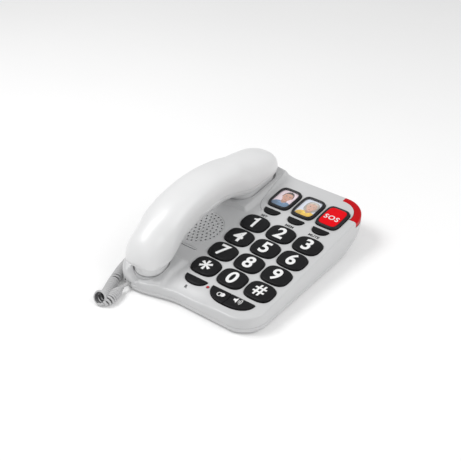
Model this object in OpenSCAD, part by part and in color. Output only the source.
// Corded big-button desk telephone: a wedge-shaped base with a sloping key panel,
// a handset lying in two cradle wells on the left, and a curly cord between them.
// Origin: centre of the footprint, on the surface the feet stand on. +Y is the rear.

/* [Base] */
// Overall width of the base
base_w = 147; // [144:1:152]
// Overall depth of the base
base_d = 202; // [200:1:206]
// Slope of the key panel, in degrees
panel_slope = 5; // [4:0.5:6]
// Height of the panel at the middle of the dial keys
panel_h = 24; // [23:0.5:26]
// Wall thickness of the housings
wall = 2.4; // [2:0.1:2.8]
// Height of the rubber feet
foot_h = 1.5; // [1:0.1:2]

/* [Keys] */
// Distance between dial key columns
key_pitch_x = 30; // [29:0.5:31]
// Distance between dial key rows
key_pitch_y = 24.3; // [24:0.1:25]
// Width of a dial key
key_w = 27; // [25:0.5:27]
// Height of a dial key's outline
key_l = 21.6; // [20:0.1:22]
// How far the keys stand above the panel
key_proud = 2; // [1:0.1:3]
// Key travel
key_travel = 1.5; // [1:0.1:2]
// Gap round each key
key_gap = 0.4; // [0.3:0.05:0.5]

/* [Handset] */
// Length of the handset
handset_l = 200; // [196:1:202]
// Clearance between the handset and the cradle
cradle_gap = 0.5; // [0.4:0.1:0.8]
// Radius of the ear and mouth caps
cap_r = 17.3; // [16:0.1:17.5]
// Wall thickness of the handset shells
shell_wall = 2.2; // [1.8:0.1:2.4]

/* [Cord] */
// Outer diameter of the curly cord's coil
coil_d = 10.4; // [9:0.1:10.5]
// Diameter of the cord's straight tails
tail_d = 3.4; // [3:0.1:3.6]

/* [Hidden] */
$fn = 48;

half_w = base_w / 2;
half_d = base_d / 2;
// Middle of the dial keys, measured from the base's centre
panel_x = half_w - 48.5;
panel_y = -17;
// Middle of the handset, measured from the base's centre
cradle_x = -half_w + 26;
cradle_y = 0.5;
// The handset's underside lies this far above the panel
rim_h = 5;
far = 200;

// Points of an arc from angle a0 to a1
function arc(cx, cy, r, a0, a1, n = 8) =
    [for (i = [0:n]) let (a = a0 + (a1 - a0) * i / n) [cx + r * cos(a), cy + r * sin(a)]];
// Smooth step from 0 to 1
function ease(t) = t <= 0 ? 0 : t >= 1 ? 1 : t * t * (3 - 2 * t);
// Superellipse outline of width w and length l
function superellipse(w, l, n, count = 32) =
    [for (i = [0:count - 1]) let (c = cos(360 * i / count), s = sin(360 * i / count))
        [w / 2 * sign(c) * pow(abs(c), 2 / n), l / 2 * sign(s) * pow(abs(s), 2 / n)]];
// Half-moon outline: flat edge at the back, curved edge at the front
function half_moon(w, l, n = 2.3, count = 20) =
    [for (i = [0:count]) let (c = cos(180 + 180 * i / count), s = sin(180 + 180 * i / count))
        [w / 2 * sign(c) * pow(abs(c), 2 / n), -l * pow(abs(s), 2 / n)]];
// Rounded rectangle outline
function rounded(w, l, r) =
    concat(arc(w / 2 - r, l / 2 - r, r, 0, 90, 6), arc(r - w / 2, l / 2 - r, r, 90, 180, 6),
           arc(r - w / 2, r - l / 2, r, 180, 270, 6), arc(w / 2 - r, r - l / 2, r, 270, 360, 6));

// Faces of a loft through rings of n points each, closed at both ends
function loft_faces(rings, n) = concat(
    [[for (i = [n - 1:-1:0]) i], [for (i = [0:n - 1]) (rings - 1) * n + i]],
    [for (r = [0:rings - 2], i = [0:n - 1]) each [
        [r * n + i, (r + 1) * n + (i + 1) % n, (r + 1) * n + i],
        [r * n + i, r * n + (i + 1) % n, (r + 1) * n + (i + 1) % n]]]);

// ---------- base ----------

front_y = -half_d + 9.3;
corner_r = 26;

// Plan outline of the base, drawn in by o. The front edge swells forward on the left.
function base_outline(o = 0) = concat(
    arc(half_w - 24, front_y + 24, 24 - o, -90, 0),
    arc(half_w - corner_r, half_d - corner_r, corner_r - o, 0, 90, 12),
    arc(20 - half_w, half_d - 20, 20 - o, 90, 180),
    arc(18 - half_w, 18 - half_d, 18 - o, 180, 270),
    [for (x = [-46:8:-6]) [x, -half_d + o + 9.3 * ease((x + 54) / 50)]]);

function panel_z(y) = panel_h + (y - panel_y) * tan(panel_slope);

// Underside seen from the side: flat on the front two thirds, swept up at the rear
underside = [[-far, foot_h], [50, foot_h], [60, 3.5], [70, 7.6], [80, 13.6], [88, 19], [96, 24.6],
             [103, 29.5]];
// Side view of the base, drawn in by o
function side_profile(o = 0) = concat(
    [for (p = underside) p + [0, o]],
    [[103, panel_z(103) - o], [-far, panel_z(-far) - o]]);

module side_extrude(points) {
    rotate([90, 0, 90]) linear_extrude(2 * far, center = true) polygon(points);
}

module on_panel() {
    translate([panel_x, panel_y, panel_h]) rotate([panel_slope, 0, 0]) children();
}

module on_cradle() {
    translate([cradle_x, cradle_y, panel_z(cradle_y) + rim_h]) rotate([panel_slope, 0, 0]) children();
}

// Well centres along the cradle
mouth_y = -80;
ear_y0 = 51;
ear_y1 = 81;

module stadium(r, y0, y1, z0, z1) {
    translate([0, y0, z0]) cylinder(r = r, h = z1 - z0);
    if (y1 > y0) {
        translate([0, y1, z0]) cylinder(r = r, h = z1 - z0);
        translate([-r, y0, z0]) cube([2 * r, y1 - y0, z1 - z0]);
    }
}

module cradle_pads() {
    on_cradle() {
        translate([-far / 2, -far, -rim_h - 4]) cube([far / 2 + 24, far - 60, rim_h + 4 - cradle_gap]);
        translate([-far / 2, 33, -rim_h - 4]) cube([far / 2 + 24, far, rim_h + 4 - cradle_gap]);
    }
}

module base_body(o = 0) {
    intersection() {
        linear_extrude(far) polygon(base_outline(o));
        union() {
            side_extrude(side_profile(o));
            if (o == 0) cradle_pads();
        }
        side_extrude(concat(underside, [[103, far], [-far, far]]));
    }
}

// Where the two housings part: level at the front, rising with the rear sweep
module below_parting() {
    side_extrude([[-far, -9], [far, -9], [far, 79.2], [52, 7], [-far, 7]]);
}

wells_z = -rim_h - 0.8;

module cradle_wells() {
    on_cradle() {
        stadium(cap_r + 0.8, mouth_y, mouth_y, wells_z, 20);
        stadium(cap_r + 0.8, ear_y0, ear_y1, wells_z, 20);
    }
}

// Half sizes of the plunger that the handset presses
plunger_x = 5;
plunger_y = 3;
plunger_at = 66;

module plunger_hole() {
    on_cradle() translate([-plunger_x - 0.4, plunger_at - plunger_y - 0.4, -14])
        cube([2 * plunger_x + 0.8, 2 * plunger_y + 0.8, 20]);
}

// Light band round the rear right corner: inner radius and depth below the panel
lens_r = 18.6;
lens_h = 8.5;

// Everything outside radius r at the rear right corner, from the band's underside up
module lens_block(r) {
    translate([half_w - corner_r, half_d - corner_r, panel_z(half_d) - lens_h]) difference() {
        translate([-2.5, -2.5, 0]) cube([far, far, far]);
        translate([0, 0, -1]) cylinder(r = r, h = far + 2);
    }
}

// Loudspeaker grille: rings of small six-sided holes
grille_y = 5.5;
grille_step = 4.25;
grille_rings = 5;

module grille_holes() {
    translate([cradle_x - panel_x, grille_y, -5]) {
        cylinder(r = 0.85, h = 10, $fn = 6);
        for (ring = [1:grille_rings], i = [0:6 * ring - 1])
            rotate([0, 0, 60 * i / ring]) translate([ring * grille_step, 0])
                cylinder(r = 0.85, h = 10, $fn = 6);
    }
}

key_cols = [-1, 0, 1];
// Rows count from the back: 1 2 3, 4 5 6, 7 8 9, star 0 hash
function dial_pos(i) = [key_cols[i % 3] * key_pitch_x, (1.5 - floor(i / 3)) * key_pitch_y];
// The three large keys at the back of the panel
memory_w = 24.2;
memory_l = 30.8;
memory_r = 6;
memory_pitch = 27.7;
function memory_pos(i) = [(i - 1) * memory_pitch - 0.5, 82.8];
function moon_pos(i) = [(i - 1) * memory_pitch - 0.5, 63];
moon_size = [17.4, 7.2];
flash_pos = [-27, -52.3];
flash_size = [23.4, 8.4];
pair_pos = [14, -52.5];
pair_size = [45.5, 13.8];
pair_split = -2;
lamp_pos = [-11.9, -56.4];

module dial_outline(g = 0) { polygon(superellipse(key_w + 2 * g, key_l + 2 * g, 2.9)); }
module memory_outline(g = 0) { polygon(rounded(memory_w + 2 * g, memory_l + 2 * g, memory_r + g)); }
module moon_outline(size, g = 0) {
    translate([0, g]) polygon(half_moon(size[0] + 2 * g, size[1] + 2 * g));
}

module key_holes() {
    g = key_gap;
    translate([0, 0, -6]) linear_extrude(12) {
        for (i = [0:11]) translate(dial_pos(i)) dial_outline(g);
        for (i = [0:2]) translate(memory_pos(i)) memory_outline(g);
        for (i = [0:2]) translate(moon_pos(i)) moon_outline(moon_size, g);
        translate(flash_pos) moon_outline(flash_size, g);
        translate(pair_pos) moon_outline(pair_size, g);
    }
    translate([lamp_pos[0], lamp_pos[1], -6]) cylinder(r = 1.35, h = 12);
}

boss_at = [[66, -79], [67, 40], [-22, -76], [-22, 46]];
boss_r = 4;
bore_r = 1.2;
// Underside of the screw heads' seats
seat_z = 3.05;

module bosses(r, h) {
    for (p = boss_at) translate([p[0], p[1], -1]) cylinder(r = r, h = h);
}

module top_housing() {
    color("gainsboro") difference() {
        base_body();
        difference() {
            base_body(wall);
            bosses(boss_r, far);
        }
        below_parting();
        cradle_wells();
        plunger_hole();
        lens_block(lens_r - 0.05);
        on_panel() key_holes();
        on_panel() grille_holes();
        bosses(bore_r, 15);
        tab_slot();
        switch_slot();
        base_jack_hole();
        line_hole();
    }
}

// Slot of the tab that keeps the handset on a wall-hung base
tab_size = [27.2, 1.6, 6];
tab_x = -67.4;
module tab_slot() {
    on_panel() translate([tab_x - tab_size[0] / 2 - 0.2, -22 - tab_size[1] - 0.2, -4.5])
        cube([tab_size[0] + 0.4, tab_size[1] + 0.4, 12]);
}

module handset_rest_tab() {
    color("gainsboro") on_panel()
        translate([tab_x - tab_size[0] / 2, -22 - tab_size[1], 0.2 - tab_size[2]])
            cube(tab_size);
}

// Ringer switch: start of the knob, its height, length and travel
switch_y = 13;
switch_z = 15;
knob_l = 4;
switch_travel = 5;
module switch_slot() {
    translate([-half_w - 1, switch_y - 1.5, switch_z - 1.5]) cube([6, knob_l + switch_travel + 3, 3]);
}

module ringer_switch_body() {
    color("dimgray") translate([-half_w + wall + 0.1, switch_y - 2, switch_z - 3]) difference() {
        cube([5, knob_l + switch_travel + 4, 6]);
        translate([-1, 1, 1.6]) cube([3.6, knob_l + switch_travel + 2, 2.8]);
    }
}

module ringer_switch_knob() {
    color("dimgray") translate([-half_w + 0.2, switch_y, switch_z - 1]) cube([wall + 1.5, knob_l, 2]);
}

module base_jack_hole() {
    translate([-62.5, -half_d - 5, 2.3]) cube([9, 24, 8]);
}

module base_cord_jack() {
    color("dimgray") difference() {
        translate([-64.3, -94.5, 4.2]) cube([12.6, 14, 9]);
        translate([-62.2, -96, 2]) cube([8.4, 13.5, 8.1]);
    }
}

// The line jack opens through the left side, towards the rear
line_y = 41;
line_z = 14.7;
module line_jack() {
    color("dimgray") difference() {
        union() {
            translate([-half_w + wall + 0.1, line_y - 7, line_z - 5.7]) cube([13, 14, 11.5]);
            translate([-half_w + 1.2, line_y - 5.3, line_z - 4.3]) cube([3, 10.6, 8.6]);
        }
        translate([-half_w, line_y - 4.5, line_z - 3.5]) cube([3.8, 9, 7]);
    }
}

module line_hole() {
    translate([-half_w - 5, line_y - 5.5, line_z - 4.5]) cube([9, 11, 9]);
}

// Keyholes for hanging the base on two wall screws
hang_at = [20, -60];

module bottom_housing() {
    color("gainsboro") difference() {
        intersection() {
            base_body();
            below_parting();
        }
        difference() {
            base_body(wall);
            bosses(boss_r, far);
        }
        bosses(1.7, 12);
        bosses(3, seat_z + 1);
        base_jack_hole();
        lens_block(lens_r - 0.05);
        microphone_hole();
        for (y = hang_at) {
            translate([0, y, -1]) cylinder(r = 4, h = 6);
            translate([-1.8, y, -1]) cube([3.6, 9, 6]);
        }
    }
}

foot_at = [[54, -72], [-58, -84], [56, 26], [-60, 42]];
module rubber_feet() {
    color("dimgray") for (p = foot_at) translate([p[0], p[1], 0]) cylinder(r = 6, h = foot_h);
}

module housing_screws() {
    color("silver") for (p = boss_at) translate([p[0], p[1], 0]) {
        translate([0, 0, seat_z]) cylinder(r = bore_r - 0.05, h = 10);
        translate([0, 0, foot_h + 0.1]) cylinder(r = 2.8, h = seat_z - foot_h - 0.1);
    }
}

// Stack under the panel: key flanges, rubber mat with its domes, circuit board
flange = 0.9;
flange_t = 1.2;
flange_z = -wall - 0.5 - flange_t;
dome_h = 3;
mat_z = flange_z - key_travel - 0.4 - dome_h;
board_t = 1.6;
board_l = 160;

module board_bosses(r) {
    for (p = boss_at) translate([p[0] - panel_x, p[1] - panel_y, -far / 2]) cylinder(r = r, h = far);
}

module main_circuit_board() {
    color("darkgreen") on_panel() difference() {
        translate([-46, -62, mat_z - board_t]) cube([88, board_l, board_t]);
        board_bosses(boss_r + 1.5);
    }
}

module rubber_key_mat() {
    color("darkslategray") on_panel() {
        difference() {
            translate([-45, -61.5, mat_z]) cube([86, board_l - 1, 1]);
            board_bosses(boss_r + 2.5);
        }
        for (i = [0:11]) translate(concat(dial_pos(i), mat_z)) cylinder(r = 5, h = dome_h);
        for (i = [0:2]) translate(concat(memory_pos(i), mat_z)) cylinder(r = 6, h = dome_h);
        for (p = [moon_pos(0), moon_pos(1), moon_pos(2), flash_pos])
            translate([p[0], p[1] - 3.5, mat_z]) cylinder(r = 2.6, h = dome_h);
        for (x = [-10, 8]) translate([pair_pos[0] + x, pair_pos[1] - 5, mat_z]) cylinder(r = 3, h = dome_h);
    }
}

module loudspeaker() {
    color("dimgray") on_panel() translate([cradle_x - panel_x, grille_y, 0]) {
        translate([0, 0, -6.6]) cylinder(r1 = 20, r2 = 21.5, h = 4);
        translate([0, 0, -10.6]) cylinder(r = 12, h = 4);
    }
}

microphone_x = 44;
module base_microphone() {
    color("silver") translate([microphone_x, front_y + wall + 0.2, 7.2]) rotate([-90, 0, 0])
        cylinder(r = 3, h = 4);
}

module microphone_hole() {
    translate([microphone_x, -half_d, 5.4]) rotate([-90, 0, 0]) cylinder(r = 0.7, h = 12, $fn = 6);
}

module corner_lens() {
    color("firebrick") intersection() {
        base_body();
        lens_block(lens_r);
    }
}

module corner_lamps() {
    color("white") for (a = [38, 60])
        translate([half_w - corner_r, half_d - corner_r, panel_z(half_d) - 7.5]) rotate([0, 0, a])
            translate([lens_r - 3.2, 0, 0]) rotate([0, 90, 0]) cylinder(r = 1.2, h = 2.8);
}

module status_lamp() {
    color("darkred") on_panel() translate([lamp_pos[0], lamp_pos[1], -7.4]) cylinder(r = 1.25, h = 7.7);
}

plunger_top = -rim_h - 0.55;

module hook_plunger() {
    color("gainsboro") on_cradle() {
        translate([-plunger_x, plunger_at - plunger_y, plunger_top - 10])
            cube([2 * plunger_x, 2 * plunger_y, 10]);
        translate([-plunger_x - 1.5, plunger_at - plunger_y, plunger_top - 10])
            cube([2 * plunger_x + 3, 2 * plunger_y, 1.5]);
    }
}

module hook_switch() {
    color("dimgray") on_cradle() {
        translate([-8, plunger_at - 5, plunger_top - 16]) cube([16, 10, 5.4]);
        translate([-15, plunger_at - 12, plunger_top - 17.6]) cube([30, 19, 1.6]);
    }
}

// ---------- keys ----------

module dial_key(i) {
    color("#1c1c1e") on_panel() translate(dial_pos(i)) {
        translate([0, 0, flange_z]) linear_extrude(key_proud - flange_z) dial_outline();
        translate([0, 0, flange_z]) linear_extrude(flange_t) dial_outline(flange);
    }
}

window = [19.6, 26.2, 3.8];
pocket_z = key_proud - 1.9;

module memory_key(i) {
    color("#26272a") on_panel() translate(memory_pos(i)) {
        difference() {
            translate([0, 0, flange_z]) linear_extrude(key_proud + 0.4 - flange_z) memory_outline();
            translate([0, 0, pocket_z]) linear_extrude(far)
                polygon(rounded(window[0] + 0.1, window[1] + 0.1, window[2]));
        }
        translate([0, 0, flange_z]) linear_extrude(flange_t) memory_outline(flange);
    }
}

module picture_card(i) {
    color("lightgray") on_panel() translate(memory_pos(i)) translate([0, 0, pocket_z])
        linear_extrude(0.4) polygon(rounded(window[0], window[1], window[2]));
}

module picture_window(i) {
    color("white", 0.4) on_panel() translate(memory_pos(i)) translate([0, 0, pocket_z + 0.4])
        linear_extrude(1.5) polygon(rounded(window[0], window[1], window[2]));
}

module emergency_cap() {
    color("red") on_panel() translate(memory_pos(2)) translate([0, 0, pocket_z])
        linear_extrude(2.3) polygon(rounded(window[0], window[1], window[2]));
}

module moon_key(pos, size) {
    color("#1c1c1e") on_panel() translate(pos) {
        translate([0, 0, flange_z]) linear_extrude(key_proud - 0.6 - flange_z) moon_outline(size);
        translate([0, 0, flange_z]) linear_extrude(flange_t) moon_outline(size, flange);
    }
}

// One half of the split half-moon; side is -1 for the left half, 1 for the right half
module pair_key(side) {
    color("#1c1c1e") on_panel() translate(pair_pos) intersection() {
        union() {
            translate([0, 0, flange_z]) linear_extrude(key_proud - flange_z) moon_outline(pair_size);
            translate([0, 0, flange_z]) linear_extrude(flange_t) moon_outline(pair_size, flange);
        }
        translate([side > 0 ? pair_split + 0.2 : pair_split - 0.2 - far, -far / 2, -far / 2])
            cube([far, far, far]);
    }
}

// ---------- handset ----------

// Sections along the handset: [y, underside, top, half width], above the rim plane
handset_sections = [
    [-100, 7, 13, 6], [-98.5, 3.5, 18.5, 11], [-95, 1.2, 24, 15.5], [-90, 0.4, 28.5, 18.5],
    [-82, 0, 33.5, 20.6], [-70, 0, 39, 21.2], [-62, 6, 42.5, 21], [-54, 12, 45.5, 20.8],
    [-36, 16, 49.2, 20.5], [-15, 17, 50.5, 20.5], [5, 16, 48.4, 20.5], [20, 12, 45.4, 20.8],
    [32, 4, 42.4, 21.1], [40, 0, 40.4, 21.4], [60, 0, 35, 21.8], [75, 0, 30.4, 21.5],
    [85, 0, 26.4, 19.8], [92, 0.8, 22, 16.5], [97, 3, 16.5, 11], [100, 6, 11, 5]];
ring_count = 20;
top_power = 2.4;
under_power = 3.4;

// One section's outline, drawn in by w
function section_ring(s, w) =
    let (k = handset_l / 200, mid = (s[1] + s[2]) / 2, hw = max(s[3] - w, 2),
         up = max(s[2] - mid - w, 1), down = max(mid - s[1] - w, 1))
    [for (i = [0:ring_count - 1])
        let (a = 360 * i / ring_count, c = cos(a), d = sin(a), p = d > 0 ? top_power : under_power)
        [hw * sign(c) * pow(abs(c), 2 / p), k * s[0] * (1 - w / 100),
         mid + (d > 0 ? up : down) * sign(d) * pow(abs(d), 2 / p)]];

module handset_solid(w = 0) {
    points = [for (s = handset_sections) each section_ring(s, w)];
    polyhedron(points, loft_faces(len(handset_sections), ring_count), convexity = 6);
}

module below_handset_parting(z = 0) {
    side_extrude([[-far, -far], [far, -far], [far, 9 + z], [60, 10 + z], [40, 12 + z], [20, 22 + z],
                  [0, 28 + z], [-20, 29 + z], [-48, 23 + z], [-70, 12 + z], [-90, 9 + z], [-far, 9 + z]]);
}

cap_top = 4;

module cap_cuts(g) {
    stadium(cap_r + g, mouth_y, mouth_y, -far, cap_top + g);
    stadium(cap_r + g, ear_y0, ear_y1, -far, cap_top + g);
}

// The jack sits in the left flank near the mouth end
jack_y = -62;
jack_z = 17;
module handset_jack_hole(g = 0) {
    translate([-far, jack_y - 4.3 - g, jack_z - 3.7 - g]) cube([far - 8, 8.6 + 2 * g, 7.4 + 2 * g]);
}

// Handset screws: [y, height at which the two shells' posts meet]
screw_at = [[-34, 24], [24, 17]];
post_r = 4;

module posts(r, z, h) {
    for (s = screw_at) translate([0, s[0], s[1] + z]) cylinder(r = r, h = h, $fn = 24);
}

module handset_upper_shell() {
    color("whitesmoke") on_cradle() difference() {
        union() {
            difference() {
                handset_solid();
                handset_solid(shell_wall);
                below_handset_parting();
            }
            intersection() {
                handset_solid(shell_wall / 2);
                posts(post_r, 0, far);
            }
        }
        posts(bore_r, -1, 10);
        handset_jack_hole(0.05);
    }
}

module handset_lower_shell() {
    color("whitesmoke") on_cradle() difference() {
        union() {
            difference() {
                intersection() {
                    handset_solid();
                    below_handset_parting();
                }
                handset_solid(shell_wall);
            }
            intersection() {
                handset_solid(shell_wall / 2);
                posts(post_r, -far, far);
            }
        }
        posts(bore_r + 0.4, -far, far + 1);
        posts(2.8, -far, far - 2.5);
        cap_cuts(0.05);
        handset_jack_hole(0.05);
    }
}

module cap(y0, y1) {
    color("whitesmoke") on_cradle() difference() {
        stadium(cap_r, y0, y1, -rim_h - 0.2, cap_top);
        stadium(cap_r - 2, y0, y1, -rim_h + 1.8, cap_top + 1);
        for (i = [-2:2], j = [-2:2]) if (norm([i, j]) < 2.5)
            translate([i * 3.6, (y0 + y1) / 2 + j * 3.6, -far / 2]) cylinder(r = 0.8, h = far, $fn = 6);
    }
}

module ear_receiver() {
    color("dimgray") on_cradle() translate([0, (ear_y0 + ear_y1) / 2, -rim_h + 2]) cylinder(r = 15, h = 6.6);
}

module handset_microphone() {
    color("silver") on_cradle() translate([0, mouth_y, -rim_h + 2]) cylinder(r = 4.8, h = 5);
}

module handset_weight() {
    color("slategray") on_cradle() translate([-9, -26, 28]) cube([18, 44, 6]);
}

module handset_jack() {
    color("dimgray") on_cradle() intersection() {
        handset_solid(0.3);
        difference() {
            handset_jack_hole();
            translate([-far, jack_y - 3.9, jack_z - 3.3]) cube([far - 10.5, 7.8, 6.6]);
        }
    }
}

module handset_screws() {
    color("silver") on_cradle() {
        posts(bore_r - 0.05, -2.5, 11);
        posts(2.6, -4, 1.5);
    }
}

module handset_cord_plug() {
    color("white", 0.6) on_cradle() translate([-21.6, jack_y - 3.8, jack_z - 3.2]) cube([10.8, 7.6, 6.4]);
}

module base_cord_plug() {
    color("white", 0.6) translate([-61.8, coil_route[0][1], 3.7]) cube([7.6, 15.5, 6.2]);
}

// ---------- cord ----------

// Route of the coiled part, from the base plug to below the handset's jack
coil_route = [[-58, -102.6, 6], [-58, -105, 6], [-57.5, -110.5, 5.4], [-55.5, -119, 5.4], [-54.5, -127, 5.4],
    [-57, -133.5, 5.4], [-62.5, -134, 5.4], [-67, -129, 5.4], [-69, -121, 5.4], [-72, -110, 5.4],
    [-75.5, -99, 5.4], [-78.5, -89, 5.4], [-80.5, -79, 5.4], [-81, -70.5, 7], [-80.3, -64.5, 11],
    [-79.5, -62.5, 15.5], [-79.5, -62.5, 19]];
// Route of the straight tail up to the handset plug
tail_route = [[-79.5, -62.5, 19.4], [-79.5, -62.5, 22], [-79, -62.5, 27.5], [-77.8, -62.6, 33.5],
    [-75.4, -62.7, 39], [-71.8, -62.75, 42.06], [-69.15, -62.75, 42.06]];

function unit(v) = v / norm(v);
function tangent(p, i) = unit(p[min(i + 1, len(p) - 1)] - p[max(i - 1, 0)]);
function side_of(t) = unit(cross(t, abs(t[2]) > 0.9 ? [1, 0, 0] : [0, 0, 1]));

module tube(route, d, sides) {
    points = [for (i = [0:len(route) - 1])
        let (t = tangent(route, i), u = side_of(t), v = cross(u, t))
        each [for (k = [0:sides - 1])
            route[i] + d / 2 * (cos(360 * k / sides) * u + sin(360 * k / sides) * v)]];
    polyhedron(points, loft_faces(len(route), sides), convexity = 4);
}

module curly_cord() { color("lightgray") tube(coil_route, coil_d, 12); }

module cord_tail() { color("lightgray") tube(tail_route, tail_d, 8); }

top_housing();
bottom_housing();
rubber_feet();
housing_screws();
main_circuit_board();
rubber_key_mat();
loudspeaker();
base_microphone();
corner_lens();
corner_lamps();
status_lamp();
handset_rest_tab();
hook_switch();
hook_plunger();
base_cord_jack();
line_jack();
ringer_switch_body();
ringer_switch_knob();
dial_key(0);  // key_1
dial_key(1);  // key_2
dial_key(2);  // key_3
dial_key(3);  // key_4
dial_key(4);  // key_5
dial_key(5);  // key_6
dial_key(6);  // key_7
dial_key(7);  // key_8
dial_key(8);  // key_9
dial_key(9);  // key_star
dial_key(10);  // key_0
dial_key(11);  // key_hash
memory_key(0);  // memory_key_1
memory_key(1);  // memory_key_2
memory_key(2);  // emergency_key
picture_card(0);  // picture_card_1
picture_card(1);  // picture_card_2
picture_window(0);  // picture_window_1
picture_window(1);  // picture_window_2
emergency_cap();
moon_key(moon_pos(0), moon_size);  // key_set
moon_key(moon_pos(1), moon_size);  // key_memory
moon_key(moon_pos(2), moon_size);  // key_mute
moon_key(flash_pos, flash_size);  // key_flash
pair_key(-1);  // key_redial
pair_key(1);  // key_hands_free
handset_upper_shell();
handset_lower_shell();
cap(ear_y0, ear_y1);  // ear_cap
cap(mouth_y, mouth_y);  // mouth_cap
ear_receiver();
handset_microphone();
handset_weight();
handset_jack();
handset_screws();
handset_cord_plug();
base_cord_plug();
curly_cord();
cord_tail();
